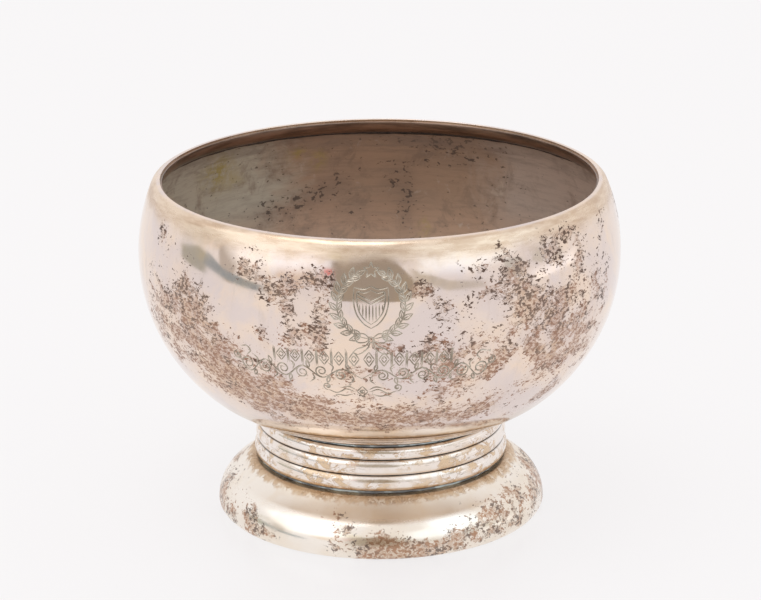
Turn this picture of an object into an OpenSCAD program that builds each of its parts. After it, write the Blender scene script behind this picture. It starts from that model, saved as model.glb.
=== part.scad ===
// Footed silver bowl given as a prize cup: a raised bowl with a wire applied inside its lip,
// on a spun domed foot whose neck carries three reeded rings. Every piece is soldered.
// Millimetres, +Z up, the origin on the axis at the plane the foot stands on.
// Each piece is a body of revolution, so every module turns an outline drawn as [radius, height].

/* [Bowl] */
// Widest outside diameter of the bowl
bowl_d = 150; // [146:0.5:154]
// Height of the lip above the table
total_h = 107.8; // [106:0.1:110]
// Height of the bowl's widest point
belly_z = 84.3; // [83:0.1:86]
// Radius of the wall's main curve
belly_r = 56; // [55:0.5:57]
// How far below level the wall faces where the heel begins, in degrees
heel_from = 48.6; // [47:0.2:50]
// Radius of the heel, the tighter curve below the belly
heel_r = 36; // [35:0.5:38]
// How far below level the wall faces where the heel ends in the shallow base, in degrees
heel_to = 64; // [63.4:0.2:64.6]
// Thickness of the silver sheet
gauge = 0.8; // [0.6:0.05:1]

/* [Rim wire] */
// Clear diameter of the mouth inside the rim wire
mouth_d = 134.2; // [133:0.2:136]
// Radius of the rim wire's rounded face
rim_wire_r = 3.8; // [3.5:0.1:4.2]
// Depth of the wire's fullest point below the lip
rim_wire_drop = 1.4; // [1:0.1:1.8]
// Reach of the solder fillet under the rim wire, along the wall and along the wire
rim_fillet = 0.8; // [0.5:0.1:1]

/* [Collar] */
// Outside diameter of the neck sleeve that carries the reeded rings
neck_d = 73.8; // [73:0.1:74.4]
// Height of the sleeve's top edge
neck_top = 30.8; // [30.4:0.1:31.2]
// Height of the top of the upper reeded ring
collar_top = 32.1; // [31.8:0.05:32.1]
// How the collar's height is shared by the upper, middle and lower reeded rings
reed_share = [4, 4.9, 5]; // [3.5:0.1:5.5]
// Height of the groove between the lower ring and the foot's ledge
collar_gap = 1; // [0.9:0.1:1.3]
// Collar diameter at the groove above the upper ring
collar_top_d = 76.4; // [76:0.1:77]
// Collar diameter at the groove below the lower ring
collar_base_d = 78.6; // [78:0.1:79.2]
// How far each ring's rounded face stands out between its grooves
reed_crown = 0.8; // [0.5:0.05:1]

/* [Foot] */
// Widest outside diameter of the foot
foot_d = 103.2; // [102:0.2:105]
// Radius of the foot's domed edge
dome_r = 11.6; // [11.2:0.1:12]
// Height of the dome's widest point, and the radius with which it turns under from there
dome_z = 2.8; // [2.6:0.1:3.2]
// How far above level the foot faces where the dome turns into the cove, in degrees
cove_from = 56; // [54:0.5:58]
// Radius of the hollow cove above the dome
cove_r = 30; // [26:1:36]
// Height of the flat ledge below the lower reeded ring
ledge_z = 17.2; // [16.9:0.1:17.4]
// Height of the wire that the foot stands on
foot_wire_h = 1.2; // [1:0.1:1.5]
// Width of that wire, across its resting face
foot_wire_w = 1.7; // [1.5:0.1:2]
// Reach of the solder fillet inside the foot, along the wire and up the dome
foot_fillet = 0.7; // [0.4:0.1:0.7]

/* [Hidden] */
$fn = 200;

bowl_colour = [0.80, 0.75, 0.71];
rim_colour = [0.66, 0.56, 0.50];
reed_colour = [0.84, 0.79, 0.73];
foot_colour = [0.86, 0.81, 0.74];
solder_colour = [0.42, 0.41, 0.42];

// Bent sheet is drawn as arc bands. A band marked thick is this much thicker on each face and
// runs on by the lap into its tangent neighbours, so that they merge into one solid.
spare = 0.02;
lap = 1;

// The bowl's wall is three curves, each tangent to the next: belly, heel and base.
belly_centre = [bowl_d / 2 - belly_r, belly_z];
heel_start = belly_centre + polar(belly_r, -heel_from);
heel_centre = heel_start - polar(heel_r, -heel_from);
heel_end = heel_centre + polar(heel_r, -heel_to);
base_r = heel_end[0] / cos(heel_to);
base_centre = [0, heel_end[1] + base_r * sin(heel_to)];

// The rim wire's rounded face, and the point where it reaches the inside of the wall.
rim_wire_centre = [mouth_d / 2 + rim_wire_r, total_h - rim_wire_drop];
rim_seam = circle_meeting(belly_centre, belly_r - gauge, rim_wire_centre, rim_wire_r);

neck_r = neck_d / 2;
neck_inner_r = neck_r - gauge;
// The seam between bowl and neck also fills the top groove, and runs in a fillet inside the neck.
neck_seam_out = 0.9;
neck_seam_in = 1.5;
above_seam = 3;

// Each ring ends in grooves whose diameter grows evenly down the collar.
collar_base = ledge_z + collar_gap;
collar_h = collar_top - collar_base;
reed_h = reed_share * collar_h / (reed_share[0] + reed_share[1] + reed_share[2]);

dome_centre = [foot_d / 2 - dome_r, dome_z];
dome_end = dome_centre + polar(dome_r, cove_from);
cove_centre = dome_end + polar(cove_r, cove_from);
ledge_angle = asin((cove_centre[1] - ledge_z) / cove_r);
ledge_end = cove_centre - polar(cove_r, ledge_angle);
turn_centre = [foot_d / 2 - dome_z, dome_z];
foot_wire_inner_r = turn_centre[0] - foot_wire_w;

collar_fillet = 2;
collar_fillet_hollow = 0.7;

// A point at a distance and an angle from the origin.
function polar(r, angle) = r * [cos(angle), sin(angle)];

// The lower of the two points where two circles cross.
function circle_meeting(c1, r1, c2, r2) =
    let (
        gap = norm(c2 - c1),
        along = (gap * gap + r1 * r1 - r2 * r2) / (2 * gap),
        across = sqrt(r1 * r1 - along * along),
        way = (c2 - c1) / gap
    )
    c1 + along * way + across * [way[1], -way[0]];

// The point reached from a point on a circle by going some way round it, anticlockwise if positive.
function along_circle(centre, point, way) =
    let (arm = point - centre)
    centre + polar(norm(arm), atan2(arm[1], arm[0]) + way / norm(arm) * 180 / PI);

// Radius of the collar's grooves at a height.
function groove_r(z) =
    collar_top_d / 2 + (collar_top - z) / collar_h * (collar_base_d - collar_top_d) / 2;

// Height of the top edge of ring i, counted from the top.
function reed_top(i) = i == 0 ? collar_top : reed_top(i - 1) - reed_h[i - 1];

// The part of the plane between two directions from a centre, less than 120 degrees apart.
module sector(centre, reach, from, to) {
    translate(centre)
        polygon([[0, 0], polar(2 * reach, from), polar(2 * reach, (from + to) / 2),
            polar(2 * reach, to)]);
}

module disc(centre, r) {
    translate(centre) circle(r = r);
}

// Sheet bent to an arc: inner and outer radius about a centre, between two directions.
module arc_band(centre, inner, outer, from, to) {
    intersection() {
        difference() {
            disc(centre, outer);
            disc(centre, inner);
        }
        sector(centre, outer, from, to);
    }
}

module thick_band(centre, inner, outer, from, to) {
    arc_band(centre, inner - spare, outer + spare, from - lap, to + lap);
}

// A rectangle given by its lowest and highest radius and height.
module ring_section(r1, r2, z1, z2) {
    translate([r1, z1]) square([r2 - r1, z2 - z1]);
}

module bowl_outline() {
    intersection() {
        arc_band(belly_centre, belly_r - gauge, belly_r, -heel_from, 40);
        ring_section(0, bowl_d, 0, total_h);
    }
    thick_band(heel_centre, heel_r - gauge, heel_r, -heel_to, -heel_from);
    arc_band(base_centre, base_r - gauge, base_r, -90, -heel_to);
}

module bowl() {
    color(bowl_colour) rotate_extrude() bowl_outline();
}

// A heavy half-round wire inside the lip, its back bent to the wall and its top flush with the lip.
module rim_wire() {
    color(rim_colour) rotate_extrude() intersection() {
        disc(rim_wire_centre, rim_wire_r);
        disc(belly_centre, belly_r - gauge);
        ring_section(0, bowl_d, 0, total_h);
    }
}

module rim_solder() {
    color(solder_colour) rotate_extrude() polygon([
        rim_seam,
        along_circle(belly_centre, rim_seam, -rim_fillet),
        along_circle(rim_wire_centre, rim_seam, -rim_fillet)
    ]);
}

// The seam that joins the neck to the underside of the bowl.
module neck_solder() {
    color(solder_colour) rotate_extrude() difference() {
        union() {
            ring_section(neck_inner_r, neck_r, neck_top, neck_top + above_seam);
            ring_section(neck_r, neck_r + neck_seam_out, collar_top, neck_top + above_seam);
            polygon([
                [neck_inner_r, neck_top - neck_seam_in],
                [neck_inner_r, neck_top + above_seam],
                [neck_inner_r - neck_seam_in, neck_top + above_seam],
                [neck_inner_r - neck_seam_in, neck_top]
            ]);
        }
        disc(base_centre, base_r);
    }
}

// Ring i of the collar: flat back and ends, and a face crowned between its two grooves.
module reed_ring(i) {
    top = [groove_r(reed_top(i)), reed_top(i)];
    bottom = [groove_r(reed_top(i + 1)), reed_top(i + 1)];
    chord = norm(top - bottom);
    face_r = chord * chord / (8 * reed_crown) + reed_crown / 2;
    outward = [top[1] - bottom[1], bottom[0] - top[0]] / chord;
    face_centre = (top + bottom) / 2 - (face_r - reed_crown) * outward;
    color(reed_colour) rotate_extrude() intersection() {
        disc(face_centre, face_r);
        ring_section(neck_r, foot_d, bottom[1], top[1]);
    }
}

module upper_reed_ring() {
    reed_ring(0);
}

module middle_reed_ring() {
    reed_ring(1);
}

module lower_reed_ring() {
    reed_ring(2);
}

// The hollow fillet at the bottom of the deep groove between the lower ring and the foot.
module collar_solder() {
    color(solder_colour) rotate_extrude() difference() {
        ring_section(neck_r, neck_r + collar_fillet, ledge_z, collar_base);
        disc([neck_r + collar_fillet, (ledge_z + collar_base) / 2], collar_fillet_hollow);
    }
}

// Spun in one piece: domed edge, cove, ledge and the neck sleeve inside the rings.
module foot() {
    color(foot_colour) rotate_extrude() {
        intersection() {
            thick_band(turn_centre, dome_z - gauge, dome_z, -60, 0);
            ring_section(0, foot_d, foot_wire_h, total_h);
        }
        arc_band(dome_centre, dome_r - gauge, dome_r, 0, cove_from);
        thick_band(cove_centre, cove_r, cove_r + gauge, 180 + ledge_angle, 180 + cove_from);
        ring_section(neck_inner_r, ledge_end[0], ledge_z - gauge, ledge_z);
        ring_section(neck_inner_r, neck_r, ledge_z - gauge, neck_top);
    }
}

// The wire soldered under the foot's edge, rounded on the outside, which is what touches the table.
module foot_wire() {
    color(foot_colour) rotate_extrude() intersection() {
        union() {
            ring_section(foot_wire_inner_r, turn_centre[0], 0, foot_wire_h);
            disc(turn_centre, dome_z);
        }
        ring_section(foot_wire_inner_r, foot_d, 0, foot_wire_h);
    }
}

module foot_wire_solder() {
    inside_r = dome_z - gauge;
    corner = turn_centre + [sqrt(pow(inside_r, 2) - pow(dome_z - foot_wire_h, 2)), foot_wire_h - dome_z];
    color(solder_colour) rotate_extrude() polygon([
        corner,
        along_circle(turn_centre, corner, foot_fillet),
        corner - [foot_fillet, 0]
    ]);
}

bowl();
rim_wire();
rim_solder();
neck_solder();
upper_reed_ring();
middle_reed_ring();
lower_reed_ring();
collar_solder();
foot();
foot_wire();
foot_wire_solder();
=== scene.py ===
"""Looks for the footed silver prize bowl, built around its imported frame.

Outlines are drawn as [radius, height] in millimetres and turned about the axis. Azimuth 0 faces the
front (-Y) and grows towards +X. Every mesh is made in metres, in the frame's own place.
"""

from functools import cached_property
from math import asin, atan2, cos, degrees, dist, pi, radians, sin, sqrt

import bpy
import numpy as np
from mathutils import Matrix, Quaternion, Vector, noise
from mathutils.geometry import delaunay_2d_cdt
from mathutils.kdtree import KDTree


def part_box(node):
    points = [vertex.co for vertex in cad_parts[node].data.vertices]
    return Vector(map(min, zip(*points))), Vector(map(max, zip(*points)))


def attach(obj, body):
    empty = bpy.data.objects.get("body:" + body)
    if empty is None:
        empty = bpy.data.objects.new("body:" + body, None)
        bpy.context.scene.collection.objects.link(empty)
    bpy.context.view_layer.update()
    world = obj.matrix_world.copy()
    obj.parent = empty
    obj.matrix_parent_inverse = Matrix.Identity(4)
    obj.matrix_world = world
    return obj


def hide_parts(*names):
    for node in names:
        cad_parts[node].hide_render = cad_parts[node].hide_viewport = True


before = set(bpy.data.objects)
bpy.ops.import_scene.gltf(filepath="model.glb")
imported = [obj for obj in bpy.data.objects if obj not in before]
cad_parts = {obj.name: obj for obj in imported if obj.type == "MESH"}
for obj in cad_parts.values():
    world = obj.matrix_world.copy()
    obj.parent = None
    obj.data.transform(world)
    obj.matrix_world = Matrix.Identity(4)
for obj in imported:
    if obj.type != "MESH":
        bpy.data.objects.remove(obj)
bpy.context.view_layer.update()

MM = 0.001
REEDS = ("upper_reed_ring", "middle_reed_ring", "lower_reed_ring")


def top_of(node):
    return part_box(node)[1].z / MM


def reach_of(node):
    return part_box(node)[1].x / MM


# ---------------------------------------------------------------- sizes, in millimetres and degrees

BELLY_R = 56.0
HEEL_R = 36.0
HEEL_FROM = -48.6
HEEL_TO = -64.0
GAUGE = 0.8
LIP_Z = top_of("bowl")
BELLY = np.array([reach_of("bowl") - BELLY_R, 84.3])

WIRE_R = 3.8
WIRE_DROP = 1.4
MOUTH_R = 67.1
LIP_ROLL_R = 3.2

NECK_R = 36.9
COLLAR_TOP_R = 38.2
COLLAR_BASE_R = 39.3
REED_CROWN = 0.8

FOOT_WIRE_H = top_of("foot_wire")
FOOT_WIRE_W = 1.7
FOOT_R = 51.6
DOME_R = 11.6
TURN_R = 2.8
DOME = np.array([FOOT_R - DOME_R, TURN_R])
TURN = np.array([FOOT_R - TURN_R, TURN_R])
COVE_FROM = 56.0
COVE_R = 30.0
LEDGE_Z = 17.2


def polar(r, angle):
    """A step of length r at an angle in degrees."""
    return r * np.array([cos(radians(angle)), sin(radians(angle))])


def rise_angle(height, r):
    """The angle at which a circle of radius r is `height` above its centre."""
    return degrees(asin(height / r))


def bearing(point, centre):
    """The angle at which a point lies from a centre."""
    across, up = point - centre
    return degrees(atan2(up, across))


# The sheet rolls over at the lip: the roll is tangent to the belly and as high as the bowl.
LIP_FROM = rise_angle(LIP_Z - LIP_ROLL_R - BELLY[1], BELLY_R - LIP_ROLL_R)
LIP = BELLY + polar(BELLY_R - LIP_ROLL_R, LIP_FROM)
HEEL = BELLY + polar(BELLY_R - HEEL_R, HEEL_FROM)
heel_end = HEEL + polar(HEEL_R, HEEL_TO)
BASE_R = heel_end[0] / cos(radians(HEEL_TO))
BASE = np.array([0.0, heel_end[1] - BASE_R * sin(radians(HEEL_TO))])
COVE = DOME + polar(DOME_R + COVE_R, COVE_FROM)


# ---------------------------------------------------------------- outlines and lathe


def arc(centre, r, start, end, step):
    """Points on an arc, and normals. Anticlockwise it faces outwards, clockwise its own centre."""
    count = 2 + int(abs(radians(end - start)) * r / step)
    angles = np.radians(np.linspace(start, end, count))
    out = np.stack([np.cos(angles), np.sin(angles)], axis=1)
    return centre + r * out, out * np.sign(end - start)


def line(a, b, step=1.0):
    """Points on a straight run, and the normal on its right-hand side."""
    a = np.array(a, float)
    b = np.array(b, float)
    length = np.linalg.norm(b - a)
    way = (b - a) / length
    along = np.linspace(0, 1, 2 + int(length / step))[:, None]
    return a + along * (b - a), np.tile([way[1], -way[0]], (len(along), 1))


def trimmed(points, normals, cut):
    """A run without the last `cut` of its length."""
    gaps = np.linalg.norm(np.diff(points, axis=0), axis=1)
    left = np.concatenate([np.cumsum(gaps[::-1])[::-1], [0.0]])
    keep = left > cut
    last = int(np.nonzero(keep)[0][-1])
    part = (left[last] - cut) / gaps[last]
    end = points[last] + part * (points[last + 1] - points[last])
    normal = normals[last] + part * (normals[last + 1] - normals[last])
    normal = normal / np.linalg.norm(normal)
    return np.vstack([points[keep], end]), np.vstack([normals[keep], normal])


def rounded(before, after, cut, count=5):
    """Trims two runs that meet in a corner, and returns them with a curve between them."""
    corner = before[0][-1]
    before = trimmed(*before, cut)
    points, normals = trimmed(after[0][::-1], after[1][::-1], cut)
    after = points[::-1], normals[::-1]
    a = before[0][-1]
    b = after[0][0]
    t = np.linspace(0, 1, count)[:, None]
    curve = (1 - t) ** 2 * a + 2 * t * (1 - t) * corner + t**2 * b
    way = (1 - t) * (corner - a) + t * (b - corner)
    way = way / np.linalg.norm(way, axis=1)[:, None]
    return before, (curve, np.stack([way[:, 1], -way[:, 0]], axis=1)), after


def outline(runs, closed=True, corners=()):
    """Joins runs end to end. `corners` maps the number of a run to the rounding of its far end.
    Returns points, and for each strip between two points the normals at its start and its end."""
    runs = list(runs)
    fillets = {}
    for i, cut in dict(corners).items():
        j = (i + 1) % len(runs)
        runs[i], fillets[i], runs[j] = rounded(runs[i], runs[j], cut)
    chain = []
    for i, run in enumerate(runs):
        chain.append(run)
        if i in fillets:
            chain.append(fillets[i])
    points = [chain[0][0][0]]
    starts = []
    ends = []
    for place, normal in chain:
        points.extend(place[1:])
        starts.extend(normal[:-1])
        ends.extend(normal[1:])
    if closed:
        points.pop()
    return np.array(points), np.array(starts), np.array(ends)


def around(count, seams=()):
    """Azimuths for a lathe, in radians, with close-set ones beside each seam."""
    turns = set(np.round(np.linspace(0, 2 * pi, count, endpoint=False), 9))
    for seam in seams:
        for offset in (-0.02, -0.008, -0.003, 0.0, 0.003, 0.008, 0.02):
            turns.add(round((seam + offset) % (2 * pi), 9))
    return np.array(sorted(turns))


def spun(points, turns):
    """Positions in metres of an outline turned to each azimuth, as [turn, point, xyz]. The outline may
    also be given once for each azimuth."""
    r, z = np.moveaxis(np.broadcast_to(points, (len(turns), *points.shape[-2:])), 2, 0)
    return np.stack([r * np.sin(turns)[:, None], -r * np.cos(turns)[:, None], z], axis=2) * MM


def facing(normal, azimuth):
    """A section's normal, turned to an azimuth."""
    return normal[0] * sin(azimuth), -normal[0] * cos(azimuth), normal[1]


def add_piece(name, mesh, node):
    """Puts a finished mesh in the scene, standing for a CAD node."""
    piece = bpy.data.objects.new(name, mesh)
    bpy.context.scene.collection.objects.link(piece)
    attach(piece, "root")
    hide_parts(node)
    return piece


def smooth_shade(mesh, normals=None):
    """Shades a mesh smoothly, by its own normals or by those given for each face corner."""
    for polygon in mesh.polygons:
        polygon.use_smooth = True
    if normals is not None:
        mesh.normals_split_custom_set(normals)


def write_field(mesh, name, values):
    """Stores one number per vertex, for a material to read."""
    field = mesh.attributes.new(name, "FLOAT", "POINT")
    field.data.foreach_set("value", np.asarray(values, np.float32))


def lathe(name, shape, turns, swell=None):
    """A closed ring turned from a closed outline. `swell` gives each point's move along its normal,
    in millimetres, from the azimuths and the points; without it the outline's own normals are used."""
    points, starts, ends = shape
    place = points
    if swell is not None:
        out = starts + np.roll(ends, 1, axis=0)
        out = out / np.linalg.norm(out, axis=1)[:, None]
        place = points[None] + swell(turns, points)[:, :, None] * out[None]
    place = spun(place, turns)
    count = len(points)
    size = len(turns)
    faces = []
    normals = []
    for j in range(size):
        k = (j + 1) % size
        for i in range(count):
            h = (i + 1) % count
            faces.append((j * count + i, k * count + i, k * count + h, j * count + h))
            for turn, normal in ((j, starts[i]), (k, starts[i]), (k, ends[i]), (j, ends[i])):
                normals.append(facing(normal, turns[turn]))
    mesh = bpy.data.meshes.new(name)
    mesh.from_pydata(place.reshape(-1, 3).tolist(), [], faces)
    smooth_shade(mesh, normals if swell is None else None)
    return mesh


# ---------------------------------------------------------------- the engraved ornament

# Drawn flat in millimetres: x along the belly's widest circle, y up along its curve from the belly's
# widest point, both from the middle of the front. Nothing in it is a letter or a figure.
PATCH_HALF = 50.0
PATCH_LOW = -28.0
PATCH_HIGH = 21.0
EMBLEM_X = -2.6
EMBLEM_Y = 4.8
ROWS_X = -5.6
CUT_DEPTH = 0.15


def smooth(points, step=0.4):
    """A curve through given points (Catmull-Rom)."""
    points = np.array(points, float)
    knots = np.vstack([2 * points[0] - points[1], points, 2 * points[-1] - points[-2]])
    run = []
    for a, b, c, d in zip(knots, knots[1:], knots[2:], knots[3:]):
        count = max(2, int(np.linalg.norm(c - b) / step) + 1)
        for t in np.linspace(0, 1, count, endpoint=False):
            square = (2 * a - 5 * b + 4 * c - d) * t**2
            cube = (3 * b - a - 3 * c + d) * t**3
            run.append(0.5 * (2 * b + (c - a) * t + square + cube))
    run.append(points[-1])
    return np.array(run)


def bend(cx, cy, r, start, end):
    """An arc as a stroke, angles in degrees."""
    count = 3 + int(abs(radians(end - start)) * r / 0.4)
    angles = np.radians(np.linspace(start, end, count))
    return np.stack([cx + r * np.cos(angles), cy + r * np.sin(angles)], axis=1)


def spiral(cx, cy, r, start, turn, shrink=0.25):
    """A stroke that winds in from radius r to `shrink` of it."""
    count = 3 + int(abs(radians(turn)) * r * 0.7 / 0.35)
    part = np.linspace(0, 1, count)
    angles = np.radians(start + turn * part)
    size = r * (1 - (1 - shrink) * part)
    return np.stack([cx + size * np.cos(angles), cy + size * np.sin(angles)], axis=1)


def straight(a, b, step=0.45):
    count = 2 + int(dist(a, b) / step)
    return np.linspace(np.array(a, float), np.array(b, float), count)


def leaf(base, angle, length, width):
    """Two curved edges and a short midrib."""
    ahead = np.array([cos(angle), sin(angle)])
    side = np.array([-ahead[1], ahead[0]])
    base = np.array(base)
    tip = base + length * ahead
    edges = []
    for sign in (-1, 1):
        shoulder = base + 0.45 * length * ahead + sign * width / 2 * side
        edges.append(smooth([base, shoulder, tip]))
    edges.append(straight(base, base + 0.6 * length * ahead))
    return edges


def emblem():
    """The right-hand half of a laurel wreath round a blank shield, and what lies on the middle line."""
    centre = np.array([0.0, EMBLEM_Y + 0.6])
    stem_r = 10.0
    stem_end = 62
    half = [bend(centre[0], centre[1], stem_r, -84, stem_end)]
    for k in range(9):
        at = -72 + 15.5 * k
        base = centre + polar(stem_r, at)
        way = radians(at) + pi / 2
        half.extend(leaf(base, way - 0.62, 3.6, 1.5))
        half.extend(leaf(base, way + 0.55, 3.1, 1.3))
    half.extend(leaf(centre + polar(stem_r, stem_end), radians(stem_end) + pi / 2, 3.4, 1.4))
    # The bow that ties the wreath.
    low = EMBLEM_Y - 9.6
    knot = (0.3, low)
    tail = (5.6, low - 4.4)
    tail_low = (4.0, low - 5.0)
    half.append(smooth([knot, (2.2, low + 1.7), (4.6, low + 1.3), (4.2, low - 0.9), (1.9, low - 1.0), knot]))
    half.append(smooth([(0.4, low - 0.4), (1.8, low - 2.2), (4.0, low - 3.1), tail]))
    half.append(smooth([(0.3, low - 0.6), (0.9, low - 2.6), (2.4, low - 4.2), tail_low]))
    half.append(straight(tail, tail_low))
    # The shield, with a lined foot and a bar across.
    top = EMBLEM_Y + 6.4
    point = (5.0, top - 0.4)
    half.append(smooth([(0.0, top), (2.2, top - 0.9), point]))
    half.append(smooth([point, (5.1, top - 4.6), (4.2, top - 8.4), (2.2, top - 11.2), (0.0, top - 12.6)]))
    inner = [(0.0, top - 1.2), (2.0, top - 2.0), (4.0, top - 1.7), (4.1, top - 4.8)]
    inner.extend([(3.3, top - 8.0), (1.7, top - 10.2), (0.0, top - 11.4)])
    half.append(smooth(inner))
    for k in range(4):
        x = 0.5 + 0.95 * k
        half.append(straight((x, top - 5.6), (x, top - 10.2 + 0.341 * k * k)))
    for drop in (5.4, 4.4):
        half.append(straight((0.0, top - drop), (4.0, top - drop + 2.0)))
    # A star above, and the bow's knot.
    star = []
    for k in range(11):
        star.append(np.array([0.0, EMBLEM_Y + 11.0]) + polar(1.0 if k % 2 else 2.5, 90 + 36 * k))
    middle = [straight(a, b) for a, b in zip(star, star[1:])]
    middle.append(bend(0, low - 0.2, 0.9, 0, 360))
    return half, middle


def lozenge(x, y, wide, high):
    """Four strokes round a lozenge."""
    corners = [(x, y + high), (x + wide, y), (x, y - high), (x - wide, y)]
    return [straight(a, b) for a, b in zip(corners, corners[1:] + corners[:1])]


def bead_band():
    """The right-hand half of a band of double lozenges between bars."""
    half = []
    y = -11.4
    pitch = 4.5
    for k in range(6):
        x = 0.5 * pitch + pitch * k
        high = 2.45 - 0.08 * k
        for size in (1.0, 0.5):
            half.extend(lozenge(x, y, 1.6 * size, high * size))
        for bar in (x + 0.5 * pitch - 0.2, x + 0.5 * pitch + 0.2):
            half.append(straight((bar, y - high), (bar, y + high)))
    return half


def scroll_flourish():
    """The right-hand half of a running vine with curling tendrils, highest at its end."""
    y = -16.6
    pitch = 6.1
    knots = [(0.0, y - 1.6)]
    for k in range(1, 7):
        side = 1 if k % 2 else -1
        knots.append((pitch * k, y + side * (1.3 + 0.22 * k)))
    knots.append((40.6, y + 3.6))
    half = [smooth(knots)]
    for k in range(1, 7):
        side = 1 if k % 2 else -1
        x = pitch * k
        half.append(spiral(x + 0.2, y - side * (0.7 - 0.1 * k), 1.7 + 0.12 * k, 90 * side, -side * 560))
        half.extend(leaf((x - 2.2, y + side * (1.1 + 0.1 * k)), side * 1.25, 2.6, 1.0)[:2])
        half.append(smooth([(x - 3.0, y - side * 0.6), (x - 3.6, y - side * 2.2), (x - 2.4, y - side * 3.4)]))
    half.append(spiral(40.2, y + 2.2, 1.5, 75, -480))
    half.append(smooth([(36.6, y + 3.1), (35.2, y + 4.6), (36.4, y + 6.0), (38.4, y + 5.6)]))
    return half


def closing_flourish():
    """The right-hand half of a small rule that ends in a curl, and the lozenge on the middle line."""
    y = -23.2
    half = [
        smooth([(2.6, y), (5.0, y + 0.9), (8.0, y - 0.7), (10.6, y + 0.3)]),
        spiral(10.9, y + 1.6, 1.4, -90, 470),
        smooth([(3.4, y - 1.1), (5.4, y - 1.8), (7.6, y - 1.5), (9.0, y - 2.0)]),
        smooth([(2.4, y + 1.0), (4.2, y + 1.9), (6.4, y + 1.4)]),
    ]
    return half, [*lozenge(0, y, 1.7, 2.1), bend(0, y, 0.7, 0, 360)]


def ornament():
    """Every stroke with its greatest width, in millimetres. The rows' middle is left of the wreath's."""
    strokes = []
    wreath, crest = emblem()
    rule, lozenge = closing_flourish()
    halves = (
        (wreath, EMBLEM_X, 0.46),
        (bead_band(), ROWS_X, 0.44),
        (scroll_flourish(), ROWS_X, 0.5),
        (rule, ROWS_X, 0.48),
    )
    for half, middle, width in halves:
        for run in half:
            strokes.append((run + np.array([middle, 0.0]), width))
            strokes.append((run * np.array([-1.0, 1.0]) + np.array([middle, 0.0]), width))
    strokes.extend((run + np.array([EMBLEM_X, 0.0]), 0.42) for run in crest)
    strokes.extend((run + np.array([ROWS_X, 0.0]), 0.42) for run in lozenge)
    return strokes


def even(run, step=0.42):
    """The same stroke with evenly spaced points."""
    gaps = np.linalg.norm(np.diff(run, axis=0), axis=1)
    along = np.concatenate([[0.0], np.cumsum(gaps)])
    count = max(3, int(along[-1] / step) + 1)
    at = np.linspace(0, along[-1], count)
    return np.stack([np.interp(at, along, run[:, 0]), np.interp(at, along, run[:, 1])], axis=1)


def cut_lines(strokes):
    """Middle and side lines of every groove for the triangulation, and close samples of its width."""
    points = []
    edges = []
    samples = []
    for run, width in strokes:
        run = even(run)
        way = np.gradient(run, axis=0)
        way = way / np.maximum(np.linalg.norm(way, axis=1), 1e-9)[:, None]
        side = np.stack([-way[:, 1], way[:, 0]], axis=1)
        part = np.linspace(0, 1, len(run))
        half = width / 2 * (0.35 + 0.65 * np.sqrt(np.clip(4 * part * (1 - part), 0, 1)))
        for offset in (-1, 0, 1):
            base = len(points)
            points.extend(run + offset * half[:, None] * side)
            edges.extend((base + k, base + k + 1) for k in range(len(run) - 1))
        for a, b, wide_a, wide_b in zip(run, run[1:], half, half[1:]):
            for t in (0.0, 0.25, 0.5, 0.75):
                samples.append((*(a + t * (b - a)), wide_a + t * (wide_b - wide_a)))
        samples.append((*run[-1], half[-1]))
    return np.array(points), edges, np.array(samples)


# ---------------------------------------------------------------- the bowl


def bowl_outline():
    """Outer face from the bottom up, the rolled lip, and the inner face back down."""
    inner = BELLY_R - GAUGE
    lip_inner = LIP_ROLL_R - GAUGE
    runs = [
        arc(BASE, BASE_R, -90, HEEL_TO, 2.0),
        arc(HEEL, HEEL_R, HEEL_TO, HEEL_FROM, 1.0),
        arc(BELLY, BELLY_R, HEEL_FROM, LIP_FROM, 1.0),
        arc(LIP, LIP_ROLL_R, LIP_FROM, 90, 0.45),
        line(LIP + polar(LIP_ROLL_R, 90), LIP + polar(lip_inner, 90), 0.3),
        arc(LIP, lip_inner, 90, LIP_FROM, 0.6),
        arc(BELLY, inner, LIP_FROM, HEEL_FROM, 1.6),
        arc(HEEL, HEEL_R - GAUGE, HEEL_FROM, HEEL_TO, 1.6),
        arc(BASE, BASE_R - GAUGE, HEEL_TO, -90, 2.5),
    ]
    return outline(runs, closed=False, corners={3: 0.3})


def inner_start(points):
    """The number of the first point of the bowl's inner face, below the edge of the lip."""
    past_lip = np.arange(len(points)) > np.argmax(points[:, 1])
    return int(np.argmax(past_lip & (points[:, 1] < LIP_Z - GAUGE + 0.01)))


def belly_place(x, y, depth):
    """Where a point of the flat ornament lies on the belly, and which way the belly faces there."""
    azimuth = x / (BELLY[0] + BELLY_R)
    rise = y / BELLY_R
    r = BELLY[0] + (BELLY_R - depth) * np.cos(rise)
    z = BELLY[1] + (BELLY_R - depth) * np.sin(rise)
    place = np.stack([r * np.sin(azimuth), -r * np.cos(azimuth), z], axis=-1) * MM
    face = np.stack([np.cos(rise) * np.sin(azimuth), -np.cos(rise) * np.cos(azimuth), np.sin(rise)], axis=-1)
    return place, face


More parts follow.
